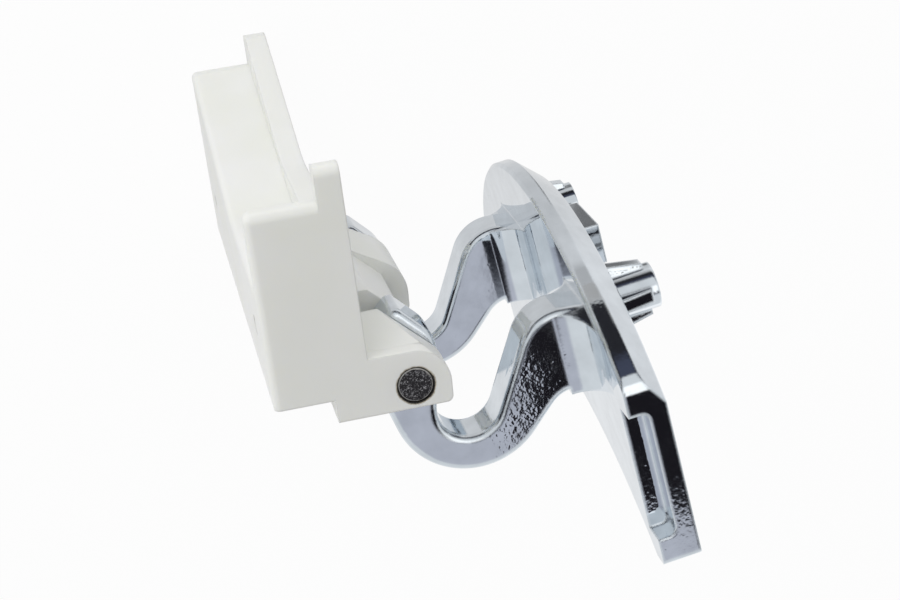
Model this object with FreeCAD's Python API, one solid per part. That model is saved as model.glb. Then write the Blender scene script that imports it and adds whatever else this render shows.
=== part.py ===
import FreeCAD, Part
import math
import os

# Dryer door hinge: a moulded bearing block for the cabinet, a steel pin, and a die-cast door arm
# whose two goosenecks swing on the pin. Millimetres. Z runs along the pin, X points out of the
# cabinet towards the door, Y points away from the middle of the door opening.
# The pieces are drawn about the pin axis, half way up the hinge, and then moved so that the origin
# lies between the two cabinet screws, on the back of the block.

os.makedirs("parts", exist_ok=True)
V = FreeCAD.Vector

# Overall height of the block and of the door plate
half_height = 53.0

# Pin
pin_radius = 3.0
pin_end_recess = 0.3
pin_chamfer = 0.4
pin_seat_clearance = 0.01
pin_running_clearance = 0.06

# Stations along the pin, measured down from the top end of the block
top_lug_thickness = 13.0
arm_thickness = 9.2
arm_spacing = 49.0
arm_side_clearance = 0.4
web_length = 22.0
low_lug_thickness = 5.2
pin_blind_wall = 1.6
eye_clearance = 2.5

# Block: flange, box behind it, and foot below it
flange_front = -7.2
flange_thickness = 4.2
flange_top = 23.8
box_back = -23.2
box_top = 19.3
box_bottom = 0.0
back_edge_radius = 1.2
foot_back = -13.3

# Block: end wall and tab at the top end, ramp and tab at the low end
end_wall_thickness = 4.6
end_wall_height = 33.2
tab_height = 38.9
tab_corner_radius = 1.6
ramp_start = -6.5
ramp_bend_radius = 20.0
inner_bend_radius = 3.0
box_ramp_start = 6.0
ramp_end_margin = 4.5

# Block: lugs around the pin
lug_nose_radius = 6.0
middle_nose_radius = 7.0
low_nose_radius = 5.2
lug_bottom = -3.9
lug_bottom_corner = 1.1
lug_corner_inset = 1.2
gusset_reach = 3.7
gusset_height = 9.5
gusset_ledge = 3.4
gusset_angle = 45.8
gusset_wall = 1.7
middle_gusset_height = 10.2
web_front = 2.4

# Block: cored cells open at the bottom, and screw bosses for the cabinet screws
cell_wall = 2.3
cell_pitch = 12.4
cell_count = 8
cell_depth = 14.5
cell_corner_radius = 1.0
cabinet_screw_spacing = 6 * cell_pitch
cabinet_screw_y = 9.5
cabinet_pilot_radius = 1.8
cabinet_pilot_depth = 12.0

# Gooseneck arm, its outline seen along the pin
eye_radius = 6.3
spur_height = 7.0
spur_radius = 1.4
bend_x = 11.0
bend_y = -9.6
bend_outer_radius = 13.9
bend_inner_x = 10.5
bend_inner_y = -11.6
bend_inner_radius = 5.6
heel_x = 29.6
heel_y = -17.9
heel_radius = 5.7
hump_x = 28.3
hump_y = -5.3
hump_radius = 8.3
arm_edge_radius = 1.1
root_fillet_radius = 6.0
root_depth = 2.0

# Door plate, in its own plane
plate_x = 33.0
plate_angle = 7.6
plate_thickness = 7.0
plate_low = -42.6
crown_top = 15.6
crown_end = -7.6
belly_top = -22.0
foot_length = 4.0
plate_corner_radius = 4.5
foot_corner_radius = 0.8
crown_bevel = 4.2
crown_bevel_at_end = 5.0
inner_bevel = 0.6
root_rim = 0.9

# Slots in the two ends of the door plate
slot_low = -37.4
slot_high = -13.6
slot_depth = 5.0
slot_thickness = 3.5
slot_corner_radius = 1.4

# Bosses on the back of the door plate
boss_spacing = 54.0
boss_y = -2.5
boss_radius = 4.2
boss_height = 8.2
boss_pilot_radius = 1.8
boss_pilot_depth = 12.0
boss_rib_thickness = 2.6
boss_rib_reach = 6.4
boss_rib_end = 5.0
boss_rib_drop = 1.5
hook_z = 7.0
hook_y = 3.0
hook_length = 15.0
hook_width = 8.0
hook_height = 3.6
hook_draft = 0.2

# Small overlap that lets two shapes of one moulding join
weld = 0.5

block_top = half_height
arm_top_face = block_top - top_lug_thickness - arm_side_clearance
arm_low_face = arm_top_face - arm_thickness
far_arm_top_face = arm_top_face - arm_spacing
far_arm_low_face = far_arm_top_face - arm_thickness
low_lug_end = far_arm_low_face - arm_side_clearance - low_lug_thickness


def circle_through(rise):
    """Radius of the circle that falls by this rise between the middle and the ends."""
    return (half_height ** 2 + rise ** 2) / (2 * rise)


crown_radius = circle_through(crown_top - crown_end)


def arc_between(centre, radius, start, end):
    """Circular edge from start to end, anticlockwise for a positive radius."""
    first = math.atan2(start[1] - centre[1], start[0] - centre[0])
    last = math.atan2(end[1] - centre[1], end[0] - centre[0])
    if radius > 0:
        sweep = (last - first) % (2 * math.pi)
    else:
        sweep = -((first - last) % (2 * math.pi))
    size = abs(radius)
    middle = first + sweep / 2
    via = V(centre[0] + size * math.cos(middle), centre[1] + size * math.sin(middle), 0)
    return Part.Arc(V(start[0], start[1], 0), via, V(end[0], end[1], 0)).toShape()


def belt(circles):
    """Closed wire that runs round circles (x, y, radius) like a belt.

    A positive radius is passed anticlockwise, a negative one clockwise, and zero is a sharp corner.
    """
    count = len(circles)
    leave = []
    arrive = []
    for index in range(count):
        x1, y1, r1 = circles[index]
        x2, y2, r2 = circles[(index + 1) % count]
        distance = math.hypot(x2 - x1, y2 - y1)
        heading = math.atan2(y2 - y1, x2 - x1)
        normal = heading + math.acos(max(-1, (r2 - r1) / distance))
        nx, ny = math.cos(normal), math.sin(normal)
        leave.append((x1 - r1 * nx, y1 - r1 * ny))
        arrive.append((x2 - r2 * nx, y2 - r2 * ny))
    edges = []
    for index in range(count):
        x, y, radius = circles[index]
        start = arrive[index - 1]
        end = leave[index]
        if radius and math.dist(start, end) > 1e-6:
            edges.append(arc_between((x, y), radius, start, end))
        following = arrive[index]
        if math.dist(end, following) > 1e-6:
            edges.append(Part.LineSegment(V(end[0], end[1], 0), V(following[0], following[1], 0)).toShape())
    return Part.Wire(Part.__sortEdges__(edges))


def rounded(points):
    """Closed anticlockwise wire through corners (x, y, radius), each rounded by its radius."""
    circles = []
    count = len(points)
    for index in range(count):
        x, y, radius = points[index]
        if radius == 0:
            circles.append((x, y, 0))
            continue
        before = points[index - 1]
        after = points[(index + 1) % count]
        to_before = math.atan2(before[1] - y, before[0] - x)
        to_after = math.atan2(after[1] - y, after[0] - x)
        opening = (to_before - to_after) % (2 * math.pi)
        turn = 1 if opening < math.pi else -1
        half = opening / 2
        reach = radius / abs(math.sin(half))
        bisector = to_after + half if turn > 0 else to_after + half + math.pi
        circles.append((x + reach * math.cos(bisector), y + reach * math.sin(bisector), turn * radius))
    return belt(circles)


def along_z(wire, low, high):
    """Prism of a wire drawn in X and Y, between two heights."""
    wire.translate(V(0, 0, low))
    return Part.Face(wire).extrude(V(0, 0, high - low))


def along_x(wire, low, high):
    """Prism of a wire drawn in Z and Y, between two places along X."""
    prism = Part.Face(wire).extrude(V(0, 0, high - low))
    prism.rotate(V(0, 0, 0), V(0, 1, 0), -90)
    prism.translate(V(high, 0, 0))
    return prism


def box_between(x1, x2, y1, y2, z1, z2):
    """Straight box between two corners."""
    return Part.makeBox(x2 - x1, y2 - y1, z2 - z1, V(x1, y1, z1))


def rod(x, y, radius, z1, z2):
    """Round bar along Z."""
    return Part.makeCylinder(radius, z2 - z1, V(x, y, z1))


def edges_where(shape, test):
    """Edges whose two sides and middle all pass the test."""
    chosen = []
    for edge in shape.Edges:
        first, last = edge.ParameterRange
        spots = [edge.valueAt(first), edge.valueAt((first + last) / 2), edge.valueAt(last)]
        if all(test(spot) for spot in spots):
            chosen.append(edge)
    return chosen


def block_side(floor, wall, start, low_top):
    """Side view of the box or the flange: end wall, level floor, ramp up to the low end."""
    top = half_height
    inner = top - end_wall_thickness
    ramp_end = ramp_end_margin - top
    corner = tab_corner_radius
    return rounded([
        (-top, box_bottom, 0), (top, box_bottom, 0), (top, wall, corner), (inner, wall, corner),
        (inner, floor, inner_bend_radius), (start, floor, ramp_bend_radius),
        (ramp_end, low_top, corner), (-top, low_top, corner)])


def block_box():
    """Box behind the flange, with its long back edge rounded over."""
    side = block_side(box_top, end_wall_height, box_ramp_start, end_wall_height + 0.4)
    box = along_x(side, box_back, flange_front - flange_thickness + weld)

    def on_back_edge(spot):
        return abs(spot.x - box_back) < 0.01 and spot.y > box_top - 0.01

    return box.makeFillet(back_edge_radius, edges_where(box, on_back_edge))


def block_flange():
    """Flange in front of the box, with a tab standing up at each end and a foot below."""
    side = block_side(flange_top, tab_height, ramp_start, tab_height + 0.6)
    flange = along_x(side, flange_front - flange_thickness, flange_front)
    foot = box_between(foot_back, flange_front, lug_bottom, box_bottom + weld, -half_height, half_height)
    return flange.fuse(foot)


def lug_outline(nose, top):
    """Lug seen along the pin: flat bottom, nose round the pin, and a gusset if its top is higher."""
    root = flange_front - weld
    corner_x = nose - lug_corner_inset
    chain = [
        (root, lug_bottom, 0), (corner_x, lug_bottom + lug_bottom_corner, lug_bottom_corner),
        (0, 0, nose)]
    if top > nose:
        chain.append((flange_front + gusset_reach, top, 0))
    chain.append((root, top, 0))
    return belt(chain)


def gusset_waste(low, high, distance_low, distance_high):
    """Space in front of a gusset's slanting flat, at a distance from the pin that varies along it."""
    reach = 2 * gusset_height
    waste = Part.Face(Part.makePolygon([
        V(distance_low, -reach, low), V(reach, -reach, low), V(reach, -reach, high),
        V(distance_high, -reach, high), V(distance_low, -reach, low)]))
    waste = waste.extrude(V(0, 2 * reach, 0))
    waste.rotate(V(0, 0, 0), V(0, 0, 1), gusset_angle)
    return waste


def top_lug():
    """Lug at the near end; its gusset rises from a ledge at the outer face towards the arm."""
    low = block_top - top_lug_thickness
    body = along_z(lug_outline(lug_nose_radius, lug_nose_radius), low, block_top)
    fold = block_top - gusset_ledge
    slope = rounded([
        (low, 0, 0), (fold, 0, 0), (fold, lug_nose_radius, 0), (low, gusset_height, 0)])
    gusset = along_x(slope, flange_front - weld, lug_nose_radius - lug_bottom_corner)
    waste = gusset_waste(low, block_top, pin_radius + gusset_wall, lug_nose_radius)
    return body.fuse(gusset).cut(waste)


def middle_lug():
    """Lug between the arms: a web cut back beside the pin, then a full round nose."""
    web_top = arm_low_face - arm_side_clearance
    web_low = web_top - web_length
    nose_low = far_arm_top_face + arm_side_clearance
    web = box_between(flange_front - weld, web_front, lug_bottom, gusset_height, web_low - weld, web_top)
    wall = pin_radius + gusset_wall
    web = web.cut(gusset_waste(web_low - weld, web_top, wall, wall))
    nose = along_z(lug_outline(middle_nose_radius, middle_gusset_height), nose_low, web_low)
    return web.fuse(nose)


def low_lug():
    """Thin cheek beyond the lower arm, which holds the blind end of the pin."""
    top = far_arm_low_face - arm_side_clearance
    outline = lug_outline(low_nose_radius, low_nose_radius)
    return along_z(outline, low_lug_end, top)


def cells():
    """Cored cells of the box, open at its bottom; a screw boss takes the place of two of them."""
    width = flange_front - flange_thickness - cell_wall - (box_back + cell_wall)
    length = cell_pitch - cell_wall
    first = -cell_pitch * (cell_count - 1) / 2
    pockets = []
    for index in range(cell_count):
        z = first + index * cell_pitch
        if abs(abs(z) - cabinet_screw_spacing / 2) < cell_pitch / 2 - 0.01:
            continue
        pocket = box_between(0, width, 0, cell_depth + 1, -length / 2, length / 2)
        upright = [edge for edge in pocket.Edges if abs(edge.tangentAt(0).y) > 0.9]
        pocket = pocket.makeFillet(cell_corner_radius, upright)
        pocket.translate(V(box_back + cell_wall, box_bottom - 1, z))
        pockets.append(pocket)
    return pockets


def eye_scoops():
    """Round hollows in the flange that leave room for the eyes of the two arms."""
    scoops = []
    for top_face in (arm_top_face, far_arm_top_face):
        low = top_face - arm_thickness - arm_side_clearance
        scoops.append(rod(0, 0, eye_radius + eye_clearance, low, top_face + arm_side_clearance))
    return scoops


def cabinet_pilots():
    """Blind holes in the back of the box for two cabinet screws."""
    holes = []
    for side in (-1, 1):
        place = V(box_back, cabinet_screw_y, side * cabinet_screw_spacing / 2)
        holes.append(Part.makeCylinder(cabinet_pilot_radius, cabinet_pilot_depth, place, V(1, 0, 0)))
    return holes


def bearing_block():
    """The whole moulding, bored for the pin."""
    block = block_box().fuse([block_flange(), top_lug(), middle_lug(), low_lug()]).removeSplitter()
    bore = rod(0, 0, pin_radius + pin_seat_clearance, low_lug_end + pin_blind_wall, block_top + 1)
    block = block.cut([bore] + cells() + eye_scoops() + cabinet_pilots())
    return block.removeSplitter()


def hinge_pin():
    """Steel pin with both ends chamfered."""
    low = low_lug_end + pin_blind_wall
    high = block_top - pin_end_recess
    pin = rod(0, 0, pin_radius, low, high)
    rims = [edge for edge in pin.Edges if isinstance(edge.Curve, Part.Circle)]
    return pin.makeChamfer(pin_chamfer, rims)


def arm_outline():
    """Gooseneck seen along the pin: the eye with its spur, the bend, and the hump at the plate."""
    slant = math.radians(plate_angle)
    top_y = hump_y + hump_radius
    low_y = heel_y + heel_radius
    top_x = plate_x - top_y * math.tan(slant) + root_depth
    low_x = plate_x - low_y * math.tan(slant) + root_depth
    return belt([
        (0, 0, eye_radius), (bend_x, bend_y, bend_outer_radius), (heel_x, heel_y, -heel_radius),
        (low_x, low_y, 0), (top_x, top_y, 0), (hump_x, hump_y, hump_radius),
        (bend_inner_x, bend_inner_y, -bend_inner_radius), (0, 0, eye_radius),
        (0, spur_height, spur_radius)])


def gooseneck(top_face):
    """One arm, its edges rounded up to where its root begins."""
    low_face = top_face - arm_thickness
    arm = along_z(arm_outline(), low_face, top_face)

    def on_rim(spot):
        return min(abs(spot.z - top_face), abs(spot.z - low_face)) < 0.01

    rims = [edge for edge in edges_where(arm, on_rim) if edge.CenterOfMass.x < plate_x - root_depth]
    return arm.makeFillet(arm_edge_radius, rims)


def in_plate_frame(shape):
    """Turn a shape from the plate's own frame into the hinge frame."""
    shape.rotate(V(0, 0, 0), V(0, 0, 1), plate_angle)
    shape.translate(V(plate_x, 0, 0))
    return shape


def root_flare(top_face):
    """Root of an arm: it widens into the plate with a hollow fillet on each side, inside the crown."""
    low_face = top_face - arm_thickness
    slant = math.radians(plate_angle)
    low_y = (heel_y + heel_radius) / math.cos(slant)
    high_y = (hump_y + hump_radius) / math.cos(slant)
    fillet = root_fillet_radius
    back, front = low_face - fillet, top_face + fillet
    flare = box_between(-fillet, root_depth, low_y, high_y, back, front)
    for z in (back, front):
        flare = flare.cut(Part.makeCylinder(fillet, high_y - low_y, V(-fillet, low_y, z), V(0, 1, 0)))
    centre = V(-fillet, crown_top - crown_radius, 0)
    crown = Part.makeCylinder(crown_radius - root_rim, fillet + root_depth, centre, V(1, 0, 0))
    return in_plate_frame(flare.common(crown))


def plate_outline():
    """Plate without its belly, seen along X: feet, straight ends, rounded shoulders and crown."""
    corner = plate_corner_radius
    corner_z = half_height - corner
    crown_y = crown_top - crown_radius
    corner_y = crown_y + math.sqrt((crown_radius - corner) ** 2 - corner_z ** 2)
    foot = foot_corner_radius
    foot_z = half_height - foot
    foot_y = plate_low + foot
    return belt([
        (-foot_z, foot_y, foot), (foot_z, foot_y, foot), (corner_z, corner_y, corner),
        (0, crown_y, crown_radius), (-corner_z, corner_y, corner)])


def plate_body():
    """Arched plate with a hollow belly; its crown is bevelled towards the back and broken in front."""
    along = V(1, 0, 0)
    depth = plate_thickness
    bevel_top = crown_top - crown_bevel
    bevel_radius = circle_through(bevel_top - crown_end + crown_bevel_at_end)
    bevel = Part.makeCone(bevel_radius + depth, bevel_radius, depth, V(0, bevel_top - bevel_radius, 0), along)
    front_radius = crown_radius - inner_bevel
    broken = Part.makeCone(front_radius, front_radius + depth, depth, V(0, crown_top - crown_radius, 0), along)
    belly_rise = belly_top - plate_low
    belly_radius = ((half_height - foot_length) ** 2 + belly_rise ** 2) / (2 * belly_rise)
    belly = Part.makeCylinder(belly_radius, depth + 2, V(-1, belly_top - belly_radius, 0), along)
    return along_x(plate_outline(), 0, depth).common(bevel).common(broken).cut(belly)


def end_slots():
    """Slots in the ends of the plate, open to its inner face."""
    slots = []
    for side in (-1, 1):
        z1 = min(side * half_height, side * (half_height - slot_depth)) - (1 if side < 0 else 0)
        z2 = max(side * half_height, side * (half_height - slot_depth)) + (1 if side > 0 else 0)
        slot = box_between(-1, slot_thickness, slot_low, slot_high, z1, z2)
        inner = [edge for edge in slot.Edges if abs(edge.tangentAt(0).z) > 0.9
                 and edge.CenterOfMass.x > slot_thickness - 0.01]
        slots.append(slot.makeFillet(slot_corner_radius, inner))
    return slots


def screw_boss(z):
    """Round boss with two crossing ribs that taper towards its tip, on the back of the plate."""
    root = plate_thickness - weld
    tip = plate_thickness + boss_height
    post = Part.makeCylinder(boss_radius, tip - root, V(root, boss_y, z), V(1, 0, 0))
    half = boss_rib_thickness / 2
    rib = along_z(rounded([
        (root, -boss_rib_reach, 0), (tip - boss_rib_drop, -boss_rib_end, 0),
        (tip - boss_rib_drop, boss_rib_end, 0), (root, boss_rib_reach, 0)]), -half, half)
    ribs = []
    for turn in (0, 90):
        one = rib.copy()
        one.rotate(V(0, 0, 0), V(1, 0, 0), turn)
        one.translate(V(0, boss_y, z))
        ribs.append(one)
    return post.fuse(ribs)


def boss_pilot(z):
    """Blind hole for a door screw, from the tip of a boss."""
    tip = plate_thickness + boss_height
    place = V(tip - boss_pilot_depth, boss_y, z)
    return Part.makeCylinder(boss_pilot_radius, boss_pilot_depth + 1, place, V(1, 0, 0))


def locating_hook():
    """Tapered block between the bosses that finds its place in the door ring."""
    root = plate_thickness - weld
    tip = plate_thickness + hook_height
    wide = Part.makePolygon([
        V(root, hook_y - hook_width / 2, hook_z - hook_length / 2),
        V(root, hook_y + hook_width / 2, hook_z - hook_length / 2),
        V(root, hook_y + hook_width / 2, hook_z + hook_length / 2),
        V(root, hook_y - hook_width / 2, hook_z + hook_length / 2),
        V(root, hook_y - hook_width / 2, hook_z - hook_length / 2)])
    y_half = hook_width / 2 - hook_draft
    z_half = hook_length / 2 - hook_draft
    narrow = Part.makePolygon([
        V(tip, hook_y - y_half, hook_z - z_half), V(tip, hook_y + y_half, hook_z - z_half),
        V(tip, hook_y + y_half, hook_z + z_half), V(tip, hook_y - y_half, hook_z + z_half),
        V(tip, hook_y - y_half, hook_z - z_half)])
    return Part.makeLoft([wide, narrow], True, True)


def door_arm():
    """The whole casting: plate, two goosenecks with their roots, bosses and hook."""
    plate = plate_body().cut(end_slots())
    bosses = [screw_boss(side * boss_spacing / 2) for side in (-1, 1)]
    plate = plate.fuse(bosses + [locating_hook()])
    plate = plate.cut([boss_pilot(side * boss_spacing / 2) for side in (-1, 1)])
    plate = in_plate_frame(plate)
    necks = []
    for top_face in (arm_top_face, far_arm_top_face):
        necks.append(gooseneck(top_face))
        necks.append(root_flare(top_face))
    arm = plate.fuse(necks).removeSplitter()
    bore = rod(0, 0, pin_radius + pin_running_clearance, far_arm_low_face - 1, arm_top_face + 1)
    return arm.cut(bore)


def write(name, shape):
    """Move one piece to the cabinet screws' frame, write it and print what it measures."""
    shape.translate(V(-box_back, -cabinet_screw_y, 0))
    solids = shape.Solids
    print(name, "solids", len(solids), "valid", shape.isValid(), "volume", round(shape.Volume))
    solid = solids[0] if len(solids) == 1 else shape
    solid.exportStep("parts/" + name + ".step")


write("bearing_block", bearing_block())
write("hinge_pin", hinge_pin())
write("door_arm", door_arm())
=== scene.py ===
"""Dryer door hinge: the moulded bearing block, its steel pin and the plated door casting.

Lengths are in metres, or in millimetres where a name ends in _mm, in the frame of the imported
model: Z runs up the pin, X points from the cabinet to the door, and the origin lies between the
two cabinet screws.
"""

from __future__ import annotations

import logging
import math
from dataclasses import dataclass, field
from enum import Enum
from typing import Dict, List, Optional, Sequence, Tuple

import bpy
import numpy as np
from mathutils import Euler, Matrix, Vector

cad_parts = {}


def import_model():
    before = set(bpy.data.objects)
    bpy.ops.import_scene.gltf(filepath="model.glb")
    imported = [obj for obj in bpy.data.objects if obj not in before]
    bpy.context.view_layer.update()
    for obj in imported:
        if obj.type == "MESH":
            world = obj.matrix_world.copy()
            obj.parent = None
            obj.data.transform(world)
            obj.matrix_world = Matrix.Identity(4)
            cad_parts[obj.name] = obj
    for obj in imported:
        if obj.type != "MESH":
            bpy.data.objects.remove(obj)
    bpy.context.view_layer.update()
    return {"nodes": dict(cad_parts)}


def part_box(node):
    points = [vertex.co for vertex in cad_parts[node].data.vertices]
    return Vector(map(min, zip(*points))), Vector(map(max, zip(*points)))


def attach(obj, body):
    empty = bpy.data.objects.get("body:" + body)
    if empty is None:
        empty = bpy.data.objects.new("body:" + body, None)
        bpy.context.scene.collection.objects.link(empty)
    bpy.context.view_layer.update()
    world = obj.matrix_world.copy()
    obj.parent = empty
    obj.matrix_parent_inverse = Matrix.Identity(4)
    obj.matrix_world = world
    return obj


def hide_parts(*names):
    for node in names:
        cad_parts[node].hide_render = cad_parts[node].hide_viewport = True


LOG = logging.getLogger("door_hinge")

Colour = Tuple[float, float, float]
Span = Tuple[float, float]
Socket = bpy.types.NodeSocket

PIN_AXIS = (0.0232, -0.0095)
MM_PER_METRE = 1000.0
WHITE = (1.0, 1.0, 1.0, 1.0)
LAMP_WHITE: Colour = (1.35, 1.35, 1.33)
DARK_CLOTH: Colour = (0.012, 0.011, 0.014)
DARK_WALL: Colour = (0.02, 0.02, 0.025)
BEYOND = 2.0  # past the length of any direction, so that a span ends nowhere
MIX_SOCKETS = (0, 6, 7)  # the Mix node's factor and its two colours
MIX_RESULT = 2


class Group(Enum):
    """Names of the effects that more than one finish uses."""

    CAST_SKIN = "cast_skin"
    SOFT_MOTTLE = "soft_mottle"
    PIN_DISTANCE = "pin_distance"
    SOFT_EDGE = "soft_edge"


class Axis(Enum):
    """The parts of a point or a direction, by their place in it."""

    EAST = 0
    NORTH = 1
    UP = 2


def rgba(colour: Colour) -> Tuple[float, float, float, float]:
    """Return a colour with full opacity."""
    return (*colour, 1.0)


class NodeSheet:
    """A small helper that lays out and links the nodes of one tree."""

    def __init__(self, tree: bpy.types.NodeTree) -> None:
        """Keep the tree of a material, a world or a group to work on."""
        self.tree = tree

    def add(self, kind: str, **values: object) -> bpy.types.Node:
        """Add a node and set its attributes.

        Args:
            kind: The node's Blender type.
            values: Attribute names and their values.

        Returns:
            The new node.
        """
        node = self.tree.nodes.new(kind)
        for name, value in values.items():
            setattr(node, name, value)
        return node

    def link(self, start: Socket, end: Socket) -> None:
        """Join an output socket to an input socket."""
        self.tree.links.new(start, end)

    def feed(self, socket: Socket, value: object) -> None:
        """Give a socket a link or a constant.

        Args:
            socket: The input to set.
            value: Another node's output, or the constant.
        """
        if isinstance(value, bpy.types.NodeSocket):
            self.link(value, socket)
        else:
            socket.default_value = value

    def math(self, operation: str, *inputs: object, clamp: bool = False) -> Socket:
        """Add a Math node.

        Args:
            operation: The node's operation.
            inputs: Its operands, sockets or numbers.
            clamp: Whether the result is held between 0 and 1.

        Returns:
            The result's socket.
        """
        node = self.add("ShaderNodeMath", operation=operation, use_clamp=clamp)
        for index, value in enumerate(inputs):
            self.feed(node.inputs[index], value)
        return node.outputs[0]

    def noise(self, vector: object, scale: object, detail: float, rough: float,
              distortion: float = 0.0) -> Socket:
        """Add a Noise Texture.

        Args:
            vector: The point to look up.
            scale: How many features a metre has.
            detail: How many finer layers are added.
            rough: How strong the finer layers are.
            distortion: How far the pattern is warped.

        Returns:
            The socket of its value.
        """
        node = self.add("ShaderNodeTexNoise")
        for label, value in (("Vector", vector), ("Scale", scale), ("Detail", detail),
                             ("Roughness", rough), ("Distortion", distortion)):
            self.feed(node.inputs[label], value)
        return node.outputs["Fac"]

    def ramp(self, value: object, stops: Sequence[Span]) -> Socket:
        """Map a value through a ramp of grey stops.

        Args:
            value: The socket to map.
            stops: Two pairs of position and grey level.

        Returns:
            The mapped value's socket.
        """
        node = self.add("ShaderNodeValToRGB")
        for element, (place, level) in zip(node.color_ramp.elements, stops):
            element.position = place
            element.color = (level, level, level, 1.0)
        self.feed(node.inputs["Fac"], value)
        return node.outputs["Color"]

    def mix(self, factor: object, first: object, second: object, label: str = "") -> Socket:
        """Blend two colours.

        Args:
            factor: How much of the second colour is taken.
            first: The first colour.
            second: The second colour.
            label: What the node is for, as a reader of the tree sees it.

        Returns:
            The blended colour's socket.
        """
        node = self.add("ShaderNodeMix", data_type="RGBA", label=label)
        for index, value in zip(MIX_SOCKETS, (factor, first, second)):
            self.feed(node.inputs[index], value)
        return node.outputs[MIX_RESULT]

    def step(self, value: Socket, start: float, end: float) -> Socket:
        """Add a smooth step that is 0 before start and 1 after end, either way round.

        Args:
            value: The socket to map.
            start: Where the step leaves 0.
            end: Where the step reaches 1.

        Returns:
            The step's socket.
        """
        node = self.add("ShaderNodeMapRange", interpolation_type="SMOOTHSTEP")
        limits = (end, start, 1.0, 0.0) if start > end else (start, end, 0.0, 1.0)
        for index, level in enumerate((value, *limits)):
            self.feed(node.inputs[index], level)
        return node.outputs[0]

    def window(self, value: Socket, span: Span, soft: float) -> Socket:
        """Add a mask that is 1 within a span and falls to 0 at both of its ends.

        Args:
            value: The socket to map.
            span: Where the mask is 1.
            soft: Half the width of each fall.

        Returns:
            The mask's socket.
        """
        low, high = span
        rise = self.step(value, low - soft, low + soft)
        fall = self.step(value, high + soft, high - soft)
        return self.math("MULTIPLY", rise, fall)

    def object_point(self) -> Tuple[Socket, List[Socket]]:
        """Add the Object coordinate, which is in metres in the model's frame.

        Returns:
            The point's socket and the sockets of its three parts.
        """
        point = self.add("ShaderNodeTexCoord").outputs["Object"]
        split = self.add("ShaderNodeSeparateXYZ")
        self.link(point, split.inputs[0])
        return point, list(split.outputs)


def new_group(name: Group, inputs: Dict[str, Tuple[str, object]],
              outputs: Dict[str, str]) -> Tuple[NodeSheet, bpy.types.Node, bpy.types.Node]:
    """Start a shader node group with named sockets.

    Args:
        name: The group's name.
        inputs: Socket names with their type and default.
        outputs: Socket names with their type.

    Returns:
        The sheet of the group, its entry and its exit.
    """
    tree = bpy.data.node_groups.new(name.value, "ShaderNodeTree")
    for label, (kind, default) in inputs.items():
        socket = tree.interface.new_socket(label, in_out="INPUT", socket_type=kind)
        if default is not None:
            socket.default_value = default
    for label, kind in outputs.items():
        tree.interface.new_socket(label, in_out="OUTPUT", socket_type=kind)
    sheet = NodeSheet(tree)
    return sheet, sheet.add("NodeGroupInput"), sheet.add("NodeGroupOutput")


def place_group(sheet: NodeSheet, name: Group, **values: object) -> bpy.types.Node:
    """Place a group in a material with this material's own values.

    Args:
        sheet: The material's sheet.
        name: Which group.
        values: Socket names, with underscores for blanks, and their values.

    Returns:
        The group node.
    """
    node = sheet.add("ShaderNodeGroup", node_tree=bpy.data.node_groups[name.value])
    for label, value in values.items():
        sheet.feed(node.inputs[label.replace("_", " ")], value)
    return node


@dataclass(frozen=True)
class CastSkin:
    """The effect of a cast or sheared metal skin.

    Height is a slow swell plus a fine orange peel less sunken pits, where a pit is a cell of a
    Voronoi pattern whose distance to its point is small and whose own random value is high.
    """

    swell_scale: float = 160.0
    pit_scale: float = 1100.0
    pit_wall: Span = (0.12, 0.34)
    pit_share: Span = (0.72, 0.76)

    def build(self) -> None:
        """Build the group."""
        sheet, entry, leave = new_group(
            Group.CAST_SKIN,
            {"Vector": ("NodeSocketVector", None), "Peel Scale": ("NodeSocketFloat", 1500.0),
             "Peel": ("NodeSocketFloat", 0.5), "Swell": ("NodeSocketFloat", 0.5),
             "Pits": ("NodeSocketFloat", 0.5)},
            {"Height": "NodeSocketFloat"})
        point = entry.outputs["Vector"]
        peel = sheet.noise(point, entry.outputs["Peel Scale"], detail=1.5, rough=0.5)
        swell = sheet.noise(point, self.swell_scale, detail=1.0, rough=0.4)
        cells = sheet.add("ShaderNodeTexVoronoi", feature="F1")
        sheet.link(point, cells.inputs["Vector"])
        cells.inputs["Scale"].default_value = self.pit_scale
        bottom, rim = self.pit_wall
        none, full = self.pit_share
        near = sheet.ramp(cells.outputs["Distance"], [(bottom, 1.0), (rim, 0.0)])
        chosen = sheet.ramp(cells.outputs["Color"], [(none, 0.0), (full, 1.0)])
        pit = sheet.math("MULTIPLY", near, chosen)
        height = sheet.math("MULTIPLY", peel, entry.outputs["Peel"])
        height = sheet.math("MULTIPLY_ADD", swell, entry.outputs["Swell"], height)
        sunk = sheet.math("MULTIPLY", pit, entry.outputs["Pits"])
        sheet.link(sheet.math("SUBTRACT", height, sunk), leave.inputs["Height"])


@dataclass(frozen=True)
class SoftMottle:
    """The effect of a value that varies slowly over a surface, and a fine grain, 0 to 1."""

    spread: Span = (0.3, 0.7)
    grain_scale: float = 2600.0

    def build(self) -> None:
        """Build the group."""
        sheet, entry, leave = new_group(
            Group.SOFT_MOTTLE,
            {"Vector": ("NodeSocketVector", None), "Scale": ("NodeSocketFloat", 80.0)},
            {"Value": "NodeSocketFloat", "Grain": "NodeSocketFloat"})
        point = entry.outputs["Vector"]
        low, high = self.spread
        slow = sheet.noise(point, entry.outputs["Scale"], detail=2.0, rough=0.5)
        grain = sheet.noise(point, self.grain_scale, detail=2.0, rough=0.6)
        sheet.link(sheet.ramp(slow, [(low, 0.0), (high, 1.0)]), leave.inputs["Value"])
        sheet.link(grain, leave.inputs["Grain"])


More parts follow.
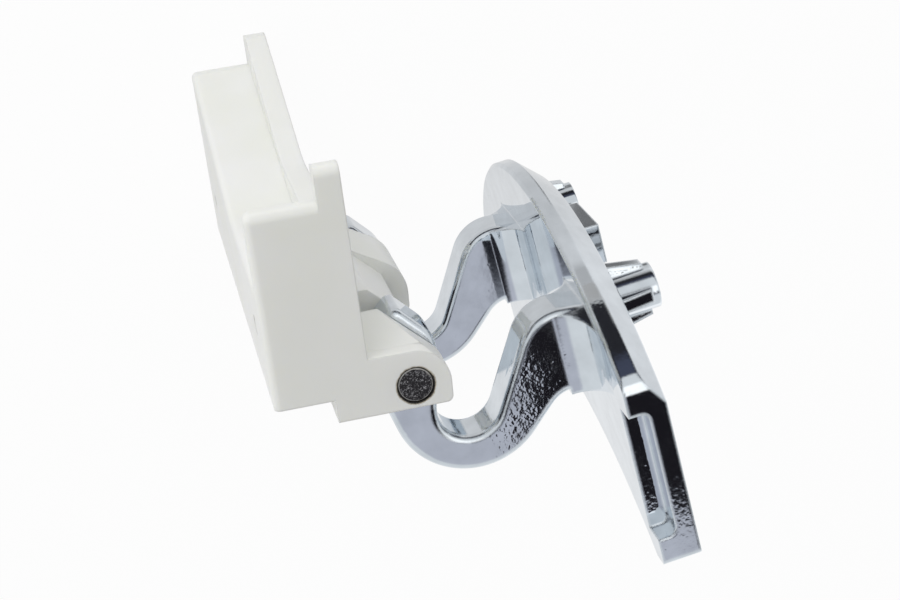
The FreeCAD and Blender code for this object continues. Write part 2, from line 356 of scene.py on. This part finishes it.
@dataclass(frozen=True)
class PinDistance:
    """The effect that gives a point's distance from the pin's axis, in millimetres.

    Distance is the root of (x - axis x) squared plus (y - axis y) squared, made a little uneven
    by a noise, so that a ring read from it has a ragged edge.
    """

    ragged_scale: float = 900.0

    def build(self) -> None:
        """Build the group."""
        sheet, entry, leave = new_group(
            Group.PIN_DISTANCE,
            {"Vector": ("NodeSocketVector", None), "Ragged": ("NodeSocketFloat", 0.2)},
            {"Distance": "NodeSocketFloat"})
        point = entry.outputs["Vector"]
        split = sheet.add("ShaderNodeSeparateXYZ")
        sheet.link(point, split.inputs[0])
        across = sheet.math("SUBTRACT", split.outputs[0], PIN_AXIS[0])
        along = sheet.math("SUBTRACT", split.outputs[1], PIN_AXIS[1])
        square = sheet.math("MULTIPLY", across, across)
        square = sheet.math("MULTIPLY_ADD", along, along, square)
        distance = sheet.math("MULTIPLY", sheet.math("SQRT", square), MM_PER_METRE)
        uneven = sheet.noise(point, self.ragged_scale, detail=2.0, rough=0.6)
        uneven = sheet.math("SUBTRACT", uneven, 0.5)
        shifted = sheet.math("MULTIPLY_ADD", uneven, entry.outputs["Ragged"], distance)
        sheet.link(shifted, leave.inputs["Distance"])


@dataclass(frozen=True)
class SoftEdge:
    """The effect that rounds the normal over edges, with a mask that is 1 on the edges."""

    samples: int = 6
    edge_cosine: Span = (0.75, 0.99)

    def build(self) -> None:
        """Build the group."""
        sheet, entry, leave = new_group(
            Group.SOFT_EDGE, {"Radius": ("NodeSocketFloat", 0.0004)},
            {"Normal": "NodeSocketVector", "Edge": "NodeSocketFloat"})
        rounded = sheet.add("ShaderNodeBevel", samples=self.samples)
        sheet.link(entry.outputs["Radius"], rounded.inputs["Radius"])
        flat = sheet.add("ShaderNodeNewGeometry").outputs["Normal"]
        cosine = sheet.add("ShaderNodeVectorMath", operation="DOT_PRODUCT")
        sheet.link(rounded.outputs[0], cosine.inputs[0])
        sheet.link(flat, cosine.inputs[1])
        turned, straight = self.edge_cosine
        edge = sheet.ramp(cosine.outputs["Value"], [(turned, 1.0), (straight, 0.0)])
        sheet.link(rounded.outputs[0], leave.inputs["Normal"])
        sheet.link(edge, leave.inputs["Edge"])


def new_material(name: str) -> Tuple[bpy.types.Material, NodeSheet, bpy.types.Node]:
    """Start a material.

    Args:
        name: The material's name.

    Returns:
        The material, its sheet and its Principled shader.
    """
    material = bpy.data.materials.new(name)
    material.use_nodes = True
    sheet = NodeSheet(material.node_tree)
    return material, sheet, material.node_tree.nodes["Principled BSDF"]


def add_bump(sheet: NodeSheet, shader: bpy.types.Node, height: Socket, depth: float,
             normal: Socket) -> None:
    """Give a shader a bump over an already rounded normal.

    Args:
        sheet: The material's sheet.
        shader: The Principled shader.
        height: The bump's height, 0 to 1.
        depth: What a height of 1 stands for, in metres.
        normal: The normal to start from.
    """
    bump = sheet.add("ShaderNodeBump")
    bump.inputs["Strength"].default_value = 1.0
    bump.inputs["Distance"].default_value = depth
    sheet.link(height, bump.inputs["Height"])
    sheet.link(normal, bump.inputs["Normal"])
    sheet.link(bump.outputs["Normal"], shader.inputs["Normal"])


@dataclass(frozen=True)
class MouldedPlastic:
    """The block's white acetal, satin and slightly waxy, with a stain and a painted shade ring
    round the pin.
    """

    name: str = "white_acetal"
    light: Colour = (0.90, 0.905, 0.885)
    shade: Colour = (0.875, 0.883, 0.835)
    stain: Colour = (0.26, 0.20, 0.10)
    # painted shade: a near black ring that stands for the shade in the gap round the pin
    painted_gap_shade: Colour = (0.015, 0.012, 0.01)
    mottle_scale: float = 70.0
    ragged_mm: float = 0.4
    stain_span_mm: Span = (3.5, 3.2)
    stain_share: float = 0.8
    painted_gap_shade_span_mm: Span = (3.24, 3.14)
    roughness: float = 0.38
    waxiness: float = 0.22
    scatter: Colour = (0.004, 0.0038, 0.003)
    edge_radius: float = 0.00045
    grain_depth: float = 0.000004

    def build(self) -> bpy.types.Material:
        """Build the material.

        Returns:
            The finished material.
        """
        material, sheet, shader = new_material(self.name)
        point, _ = sheet.object_point()
        mottle = place_group(sheet, Group.SOFT_MOTTLE, Vector=point, Scale=self.mottle_scale)
        body = sheet.mix(mottle.outputs["Value"], rgba(self.light), rgba(self.shade), "body")
        distance = place_group(sheet, Group.PIN_DISTANCE, Vector=point, Ragged=self.ragged_mm)
        ring = distance.outputs["Distance"]
        stained = sheet.math("MULTIPLY", sheet.step(ring, *self.stain_span_mm), self.stain_share)
        body = sheet.mix(stained, body, rgba(self.stain), "stain")
        # Painted shade: near black at the bore's edge, for the shade in the gap between the pin
        # and the block.
        body = sheet.mix(sheet.step(ring, *self.painted_gap_shade_span_mm), body, rgba(self.painted_gap_shade), "painted_gap_shade")
        sheet.feed(shader.inputs["Base Color"], body)
        shader.inputs["Roughness"].default_value = self.roughness
        shader.inputs["Subsurface Weight"].default_value = self.waxiness
        shader.inputs["Subsurface Radius"].default_value = self.scatter
        shader.inputs["Subsurface Scale"].default_value = 1.0
        edge = place_group(sheet, Group.SOFT_EDGE, Radius=self.edge_radius)
        add_bump(sheet, shader, mottle.outputs["Grain"], self.grain_depth, edge.outputs["Normal"])
        return material


@dataclass(frozen=True)
class PlatedCasting:
    """The arm's chrome: a mirror over a cast skin that is rough in some places.

    The skin is rough on the near gooseneck past a line and below its bend, on the plate's near
    end and on all that stands behind the plate. Elsewhere only a small share of it is left.
    """

    name: str = "plated_casting"
    colour: Colour = (0.745, 0.79, 0.835)
    dull_share: float = 0.9
    cloud_scale: float = 260.0
    roughness: float = 0.025
    cloud_roughness: float = 0.03
    peel_scale: float = 1250.0
    pits: float = 0.4
    depth: float = 0.000012
    calm: float = 0.14
    neck_x: Span = (0.0364, 0.0368)
    neck_z: Span = (0.036, 0.037)
    bend_y: Span = (-0.009, -0.019)
    above_bend: float = 0.10
    plate_x: Span = (0.0545, 0.0565)
    end_z: Span = (0.034, 0.040)
    end_share: float = 0.6
    plate_slant: float = 0.131
    behind_x: Span = (0.0622, 0.0628)
    behind_share: float = 0.5
    edge_share: float = 0.5
    edge_radius: float = 0.0008
    near_z: Span = (0.0, 0.03)

    def rough_neck(self, sheet: NodeSheet, parts: Sequence[Socket]) -> Socket:
        """Mask the rough part of the near gooseneck.

        Args:
            sheet: The material's sheet.
            parts: The point's X, Y and Z.

        Returns:
            The mask's socket.
        """
        east, north, up = parts
        below_bend = sheet.math("MULTIPLY_ADD", sheet.step(north, *self.bend_y),
                                1.0 - self.above_bend, self.above_bend)
        mask = sheet.math("MULTIPLY", sheet.step(east, *self.neck_x), below_bend)
        mask = sheet.math("MULTIPLY", mask, sheet.step(up, *self.neck_z))
        return sheet.math("MULTIPLY", mask, sheet.step(east, *reversed(self.plate_x)))

    def rough_plate(self, sheet: NodeSheet, parts: Sequence[Socket]) -> Socket:
        """Mask the rough parts of the plate: its near end and all that stands behind it.

        The distance behind the plate is x + slant * y, since the plate leans a little.

        Args:
            sheet: The material's sheet.
            parts: The point's X, Y and Z.

        Returns:
            The mask's socket.
        """
        east, north, up = parts
        at_end = sheet.math("MULTIPLY", sheet.step(up, *self.end_z),
                            sheet.step(east, *self.plate_x))
        at_end = sheet.math("MULTIPLY", at_end, self.end_share)
        square_on = sheet.math("MULTIPLY_ADD", north, self.plate_slant, east)
        behind = sheet.math("MULTIPLY", sheet.step(square_on, *self.behind_x), self.behind_share)
        return sheet.math("MAXIMUM", at_end, behind)

    def build(self) -> bpy.types.Material:
        """Build the material.

        Returns:
            The finished material.
        """
        material, sheet, shader = new_material(self.name)
        point, parts = sheet.object_point()
        skin = place_group(sheet, Group.CAST_SKIN, Vector=point, Peel_Scale=self.peel_scale,
                           Peel=1.0, Swell=1.0, Pits=self.pits)
        near = sheet.step(parts[Axis.UP.value], *self.near_z)
        radius = sheet.math("MULTIPLY_ADD", near, self.edge_radius / 2, self.edge_radius / 2)
        edge = place_group(sheet, Group.SOFT_EDGE, Radius=radius)
        worn = sheet.math("MAXIMUM", self.rough_neck(sheet, parts),
                          self.rough_plate(sheet, parts))
        worn = sheet.math("MULTIPLY_ADD", edge.outputs["Edge"], self.edge_share, worn)
        amount = sheet.math("MULTIPLY_ADD", worn, 1.0 - self.calm, self.calm)
        height = sheet.math("MULTIPLY", skin.outputs["Height"], amount)
        cloud = place_group(sheet, Group.SOFT_MOTTLE, Vector=point, Scale=self.cloud_scale)
        dull = tuple(self.dull_share * part for part in self.colour)
        tint = sheet.mix(cloud.outputs["Value"], rgba(self.colour), rgba(dull), "cloud")
        sheet.feed(shader.inputs["Base Color"], tint)
        shader.inputs["Metallic"].default_value = 1.0
        rough = sheet.math("MULTIPLY_ADD", cloud.outputs["Value"], self.cloud_roughness,
                           self.roughness)
        sheet.link(rough, shader.inputs["Roughness"])
        add_bump(sheet, shader, height, self.depth, edge.outputs["Normal"])
        return material


@dataclass(frozen=True)
class TurnedSteel:
    """The pin's plain steel: a bright turned rim round an end with a painted dark reflection and
    painted glints.
    """

    name: str = "turned_steel"
    colour: Colour = (0.48, 0.47, 0.45)
    # painted reflection: the end face's near black colour and its bright painted glints
    dark: Colour = (0.035, 0.033, 0.036)
    painted_glint: Colour = (0.55, 0.54, 0.56)
    painted_glint_scale: float = 2300.0
    painted_glint_warp: float = 1.5
    painted_glint_share: Span = (0.54, 0.68)
    face_span_mm: Span = (2.80, 2.64)
    ragged_mm: float = 0.35
    roughness: float = 0.32
    face_roughness: float = 0.2
    peel_scale: float = 2600.0
    swell: float = 0.3
    depth: float = 0.00003
    edge_radius: float = 0.0001

    def build(self) -> bpy.types.Material:
        """Build the material.

        Returns:
            The finished material.
        """
        material, sheet, shader = new_material(self.name)
        point, _ = sheet.object_point()
        skin = place_group(sheet, Group.CAST_SKIN, Vector=point, Peel_Scale=self.peel_scale,
                           Peel=1.0, Swell=self.swell, Pits=1.0)
        # Painted reflection: the end face is painted near black, with bright painted glints
        # scattered over it.
        painted_glint_noise = sheet.noise(point, self.painted_glint_scale, detail=3.0, rough=0.7,
                             distortion=self.painted_glint_warp)
        none, full = self.painted_glint_share
        painted_glints = sheet.ramp(painted_glint_noise, [(none, 0.0), (full, 1.0)])
        painted_end_reflection = sheet.mix(painted_glints, rgba(self.dark), rgba(self.painted_glint), "painted_glints")
        distance = place_group(sheet, Group.PIN_DISTANCE, Vector=point, Ragged=self.ragged_mm)
        face = sheet.step(distance.outputs["Distance"], *self.face_span_mm)
        sheet.feed(shader.inputs["Base Color"], sheet.mix(face, rgba(self.colour), painted_end_reflection, "face"))
        shader.inputs["Metallic"].default_value = 1.0
        rough = sheet.math("MULTIPLY_ADD", face, self.face_roughness, self.roughness)
        sheet.link(rough, shader.inputs["Roughness"])
        edge = place_group(sheet, Group.SOFT_EDGE, Radius=self.edge_radius)
        add_bump(sheet, shader, skin.outputs["Height"], self.depth, edge.outputs["Normal"])
        return material


@dataclass(frozen=True)
class FloorStep:
    """A smooth change of the mirrored floor's level over a span of its X or its Y."""

    axis: Axis
    span: Span
    change: float


@dataclass(frozen=True)
class FloorPaper:
    """The floor: white to the camera, pale to mirrors and a plain matt white to light."""

    name: str = "floor_paper"
    colour: Colour = (0.9, 0.9, 0.91)
    roughness: float = 0.9
    camera_white: float = 0.95
    mirror_white: float = 0.8
    mirror_level: float = 0.98
    steps: Tuple[FloorStep, ...] = (
        FloorStep(Axis.NORTH, (-0.06, 0.05), -0.32),
        FloorStep(Axis.NORTH, (0.05, 0.3), 0.16),
        FloorStep(Axis.NORTH, (0.28, 0.42), -0.34),
        FloorStep(Axis.EAST, (0.08, 0.16), 0.25),
    )
    dark_east: Span = (0.072, 0.094)
    dark_north: Span = (0.016, 0.06)
    dark_soft: float = 0.004
    dark_share: float = 0.85

    def mirrored(self, sheet: NodeSheet) -> Socket:
        """Work out the floor's level as mirrors see it.

        Args:
            sheet: The material's sheet.

        Returns:
            The level's socket.
        """
        _, parts = sheet.object_point()
        level: object = self.mirror_level
        for change in self.steps:
            rise = sheet.step(parts[change.axis.value], *change.span)
            level = sheet.math("MULTIPLY_ADD", rise, change.change, level)
        dark = sheet.math(
            "MULTIPLY", sheet.window(parts[Axis.EAST.value], self.dark_east, self.dark_soft),
            sheet.window(parts[Axis.NORTH.value], self.dark_north, self.dark_soft))
        kept = sheet.math("MULTIPLY_ADD", dark, -self.dark_share, 1.0)
        return sheet.math("MULTIPLY", level, kept)

    def build(self) -> bpy.types.Material:
        """Build the material.

        Returns:
            The finished material.
        """
        material, sheet, shader = new_material(self.name)
        shader.inputs["Base Color"].default_value = rgba(self.colour)
        shader.inputs["Roughness"].default_value = self.roughness
        path = sheet.add("ShaderNodeLightPath")
        strength = sheet.mix(path.outputs["Is Glossy Ray"], WHITE, self.mirrored(sheet), "glow")
        glow = sheet.add("ShaderNodeEmission")
        sheet.link(strength, glow.inputs["Color"])
        seen = sheet.math("MULTIPLY", path.outputs["Is Camera Ray"], self.camera_white)
        mirror = sheet.math("MAXIMUM", path.outputs["Is Glossy Ray"],
                            path.outputs["Is Transmission Ray"])
        seen = sheet.math("MULTIPLY_ADD", mirror, self.mirror_white, seen, clamp=True)
        mixer = sheet.add("ShaderNodeMixShader")
        for socket, output in zip(mixer.inputs, (seen, shader.outputs[0], glow.outputs[0])):
            sheet.link(output, socket)
        surface = material.node_tree.nodes["Material Output"].inputs["Surface"]
        sheet.link(mixer.outputs[0], surface)
        return material


def dress(piece: bpy.types.Object, material: bpy.types.Material) -> None:
    """Give a piece one material all over and report it.

    Args:
        piece: The piece.
        material: Its material.
    """
    piece.data.materials.clear()
    piece.data.materials.append(material)
    LOG.info("%s: %d faces, %s", piece.name, len(piece.data.polygons), material.name)


@dataclass
class BearingBlock:
    """The moulded block that is screwed to the cabinet."""

    node: str = "bearing_block"
    finish: MouldedPlastic = field(default_factory=MouldedPlastic)

    def build(self, nodes: Dict[str, bpy.types.Object]) -> None:
        """Dress the block's solid, whose shape is complete."""
        dress(nodes[self.node], self.finish.build())


@dataclass
class HingePin:
    """The steel pin, a little broken at its edges and hollowed at its sheared ends."""

    node: str = "hinge_pin"
    name: str = "turned_pin"
    body: str = "cabinet_side"
    slot: str = "pin_steel"
    chamfer: float = 0.00022
    dish: float = 0.00008
    around: int = 96
    across_face: int = 9
    round_chamfer: int = 6
    finish: TurnedSteel = field(default_factory=TurnedSteel)

    def profile(self, low: float, high: float, radius: float) -> np.ndarray:
        """Work out the pin's half outline from the lower pole to the upper one.

        The end is a shallow dish, z = end - dish * (1 - (r / face)^2), then a quarter round of
        the chamfer's radius, then the straight side.

        Args:
            low: The lower end.
            high: The upper end.
            radius: The pin's radius.

        Returns:
            Rows of radius and height, without the two poles.
        """
        face = radius - self.chamfer
        radii = np.linspace(0.0, face, self.across_face)[1:]
        hollow = self.dish * (1.0 - (radii / face) ** 2)
        turn = np.linspace(0.0, math.pi / 2, self.round_chamfer)[1:]
        corner_r = face + self.chamfer * np.sin(turn)
        corner_z = self.chamfer * (1.0 - np.cos(turn))
        rise = np.concatenate([hollow, corner_z])
        out = np.concatenate([radii, corner_r])
        bottom = np.stack([out, low + rise], axis=1)
        top = np.stack([out, high - rise], axis=1)[::-1]
        return np.concatenate([bottom, top])

    def turn(self, rows: np.ndarray) -> np.ndarray:
        """Turn the outline about the pin's axis: (axis x + r cos a, axis y + r sin a, z).

        Args:
            rows: Rows of radius and height.

        Returns:
            One point a row, ring after ring.
        """
        angle = np.linspace(0.0, 2 * math.pi, self.around, endpoint=False)
        x = PIN_AXIS[0] + rows[:, :1] * np.cos(angle)
        y = PIN_AXIS[1] + rows[:, :1] * np.sin(angle)
        z = np.broadcast_to(rows[:, 1:], x.shape)
        return np.stack([x, y, z], axis=-1).reshape(-1, 3)

    def faces(self, count: int) -> List[List[int]]:
        """Join the rings with quads and close each end with a fan to its pole.

        Args:
            count: How many rings there are. The two poles follow the last ring.

        Returns:
            The corners of each face.
        """
        ring = np.arange(self.around)
        after = (ring + 1) % self.around
        base = (np.arange(count - 1) * self.around)[:, None]
        above = base + self.around
        quads = np.stack([base + ring, base + after, above + after, above + ring], axis=-1)
        pole = np.full(self.around, count * self.around)
        last = (count - 1) * self.around
        lower = np.stack([pole, after, ring], axis=1)
        upper = np.stack([pole + 1, last + ring, last + after], axis=1)
        return quads.reshape(-1, 4).tolist() + lower.tolist() + upper.tolist()

    def build(self, nodes: Dict[str, bpy.types.Object]) -> None:
        """Build the turned pin in the solid's place and dress it.

        Args:
            nodes: The solids by name; not used, since the pin takes only its own solid's box.
        """
        low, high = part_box(self.node)
        rows = self.profile(low.z, high.z, (high.x - low.x) / 2)
        poles = [(*PIN_AXIS, low.z + self.dish), (*PIN_AXIS, high.z - self.dish)]
        mesh = bpy.data.meshes.new(self.name)
        mesh.from_pydata(np.vstack([self.turn(rows), poles]).tolist(), [], self.faces(len(rows)))
        mesh.polygons.foreach_set("use_smooth", np.ones(len(mesh.polygons), dtype=bool))
        pin = bpy.data.objects.new(self.name, mesh)
        bpy.context.scene.collection.objects.link(pin)
        dress(pin, self.finish.build())
        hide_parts(self.node)
        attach(pin, self.body)


@dataclass
class DoorArm:
    """The plated casting: two goosenecks on one arched plate."""

    node: str = "door_arm"
    finish: PlatedCasting = field(default_factory=PlatedCasting)

    def build(self, nodes: Dict[str, bpy.types.Object]) -> None:
        """Dress the casting's solid, whose shape is complete."""
        dress(nodes[self.node], self.finish.build())


@dataclass(frozen=True)
class TentPatch:
    """One soft-edged patch of the tent, as spans of the direction's parts, None for all of one."""

    name: str
    colour: Colour
    east: Optional[Span] = None
    north: Optional[Span] = None
    up: Optional[Span] = None
    soft: float = 0.02


@dataclass
class Studio:
    """The floor, the light tent and the camera."""

    floor_height: float = -0.0533
    floor_size: float = 1.6
    lens: float = 76.0
    sensor: float = 36.0
    nearest: float = 0.01
    place: Tuple[float, float, float] = (-0.01453, 0.11036, 0.33524)
    tilt: Tuple[float, float, float] = (-19.129, -11.603, -7.137)
    lamp_place: Tuple[float, float, float] = (-0.50, 0.80, 0.42)
    lamp_aim: Tuple[float, float, float] = (0.02, 0.0, 0.0)
    lamp_size: float = 0.9
    lamp_watts: float = 2.75
    sky_level: float = 0.98
    sky_slopes: Tuple[Tuple[Axis, float], ...] = (
        (Axis.NORTH, 0.20), (Axis.UP, -0.58), (Axis.EAST, -0.14))
    tent: Colour = (0.78, 0.80, 0.81)
    patches: Tuple[TentPatch, ...] = (
        TentPatch("haze", (0.54, 0.55, 0.61), north=(-0.62, -0.28), up=(0.80, BEYOND),
                  soft=0.05),
        TentPatch("horizon", (0.48, 0.47, 0.46), north=(0.80, BEYOND), up=(-0.30, 0.02),
                  soft=0.04),
        TentPatch("far_wall", (0.025, 0.025, 0.030), north=(0.40, BEYOND), up=(0.02, 0.52)),
        TentPatch("far_glow", (0.062, 0.070, 0.105), north=(0.38, 0.96), up=(0.35, 0.50),
                  soft=0.04),
        TentPatch("west_wall", DARK_WALL, east=(-BEYOND, -0.60), north=(-0.28, 0.80),
                  up=(0.05, 0.75), soft=0.04),
        TentPatch("lamp", LAMP_WHITE, east=(0.0, 0.6), north=(-0.14, 0.28), up=(0.80, BEYOND),
                  soft=0.04),
        TentPatch("opening", DARK_CLOTH, east=(0.174, 0.80), north=(-0.462, -0.24),
                  up=(0.45, BEYOND), soft=0.002),
        TentPatch("lamp_low", LAMP_WHITE, east=(0.192, 0.255), north=(-0.355, -0.08),
                  up=(0.80, BEYOND), soft=0.008),
        TentPatch("west_rim", DARK_WALL, east=(-0.34, 0.095), north=(-0.385, -0.20),
                  up=(0.85, BEYOND)),
        TentPatch("opening_rim", DARK_CLOTH, east=(-0.05, 0.15), north=(-0.29, -0.15),
                  up=(0.85, BEYOND)),
    )

    def build_camera(self) -> None:
        """Set the camera at the photograph's viewing point."""
        data = bpy.data.cameras.new("camera")
        data.lens = self.lens
        data.sensor_width = self.sensor
        data.clip_start = self.nearest
        camera = bpy.data.objects.new("camera", data)
        camera.location = self.place
        camera.rotation_euler = Euler([math.radians(angle) for angle in self.tilt], "XYZ")
        bpy.context.scene.collection.objects.link(camera)
        bpy.context.scene.camera = camera

    def build_floor(self) -> None:
        """Lay a plain pale floor that keeps a soft shadow."""
        half = self.floor_size / 2
        mesh = bpy.data.meshes.new("floor")
        corners = [(-half, -half, self.floor_height), (half, -half, self.floor_height),
                   (half, half, self.floor_height), (-half, half, self.floor_height)]
        mesh.from_pydata(corners, [], [(0, 1, 2, 3)])
        floor = bpy.data.objects.new("floor", mesh)
        bpy.context.scene.collection.objects.link(floor)
        mesh.materials.append(FloorPaper().build())

    def patch_mask(self, sheet: NodeSheet, patch: TentPatch, parts: Sequence[Socket]) -> Socket:
        """Work out a patch's mask, the product of one window for each bounded part.

        Args:
            sheet: The world's sheet.
            patch: The patch.
            parts: The direction's X, Y and Z.

        Returns:
            The mask's socket.
        """
        spans = zip(parts, (patch.east, patch.north, patch.up))
        windows = [sheet.window(part, span, patch.soft) for part, span in spans if span]
        mask = windows[0]
        for window in windows[1:]:
            mask = sheet.math("MULTIPLY", mask, window)
        return mask

    def build_world(self) -> None:
        """Surround the part with a tent that is plain to light and patched to mirrors."""
        world = bpy.data.worlds.new("tent")
        bpy.context.scene.world = world
        world.use_nodes = True
        sheet = NodeSheet(world.node_tree)
        split = sheet.add("ShaderNodeSeparateXYZ")
        sheet.link(sheet.add("ShaderNodeTexCoord").outputs["Generated"], split.inputs[0])
        parts = list(split.outputs)
        soft: object = self.sky_level
        for axis, slope in self.sky_slopes:
            soft = sheet.math("MULTIPLY_ADD", parts[axis.value], slope, soft)
        mirror: object = rgba(self.tent)
        for patch in self.patches:
            mask = self.patch_mask(sheet, patch, parts)
            mirror = sheet.mix(mask, mirror, rgba(patch.colour), patch.name)
        path = sheet.add("ShaderNodeLightPath")
        level = sheet.mix(path.outputs["Is Glossy Ray"], soft, mirror, "light or mirror")
        level = sheet.mix(path.outputs["Is Camera Ray"], level, WHITE, "camera")
        background = world.node_tree.nodes["Background"]
        sheet.link(level, background.inputs["Color"])
        background.inputs["Strength"].default_value = 1.0

    def build_lamp(self) -> None:
        """Hang one broad lamp over the north side for gentle shadows."""
        data = bpy.data.lights.new("key", "AREA")
        data.shape = "SQUARE"
        data.size = self.lamp_size
        data.energy = self.lamp_watts
        lamp = bpy.data.objects.new("key", data)
        lamp.location = self.lamp_place
        aim = Vector(self.lamp_aim) - Vector(self.lamp_place)
        lamp.rotation_euler = aim.to_track_quat("-Z", "Y").to_euler()
        lamp.visible_glossy = False
        bpy.context.scene.collection.objects.link(lamp)

    def build(self) -> None:
        """Set up the whole studio."""
        bpy.context.scene.view_settings.view_transform = "Standard"
        self.build_camera()
        self.build_floor()
        self.build_world()
        self.build_lamp()


def main() -> None:
    """Dress the hinge and set it in the studio."""
    logging.basicConfig(level=logging.INFO, format="%(name)s: %(message)s")
    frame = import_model()
    for effect in (CastSkin(), SoftMottle(), PinDistance(), SoftEdge()):
        effect.build()
    for piece in (BearingBlock(), HingePin(), DoorArm()):
        piece.build(frame["nodes"])
    Studio().build()


if __name__ == "__main__":
    main()
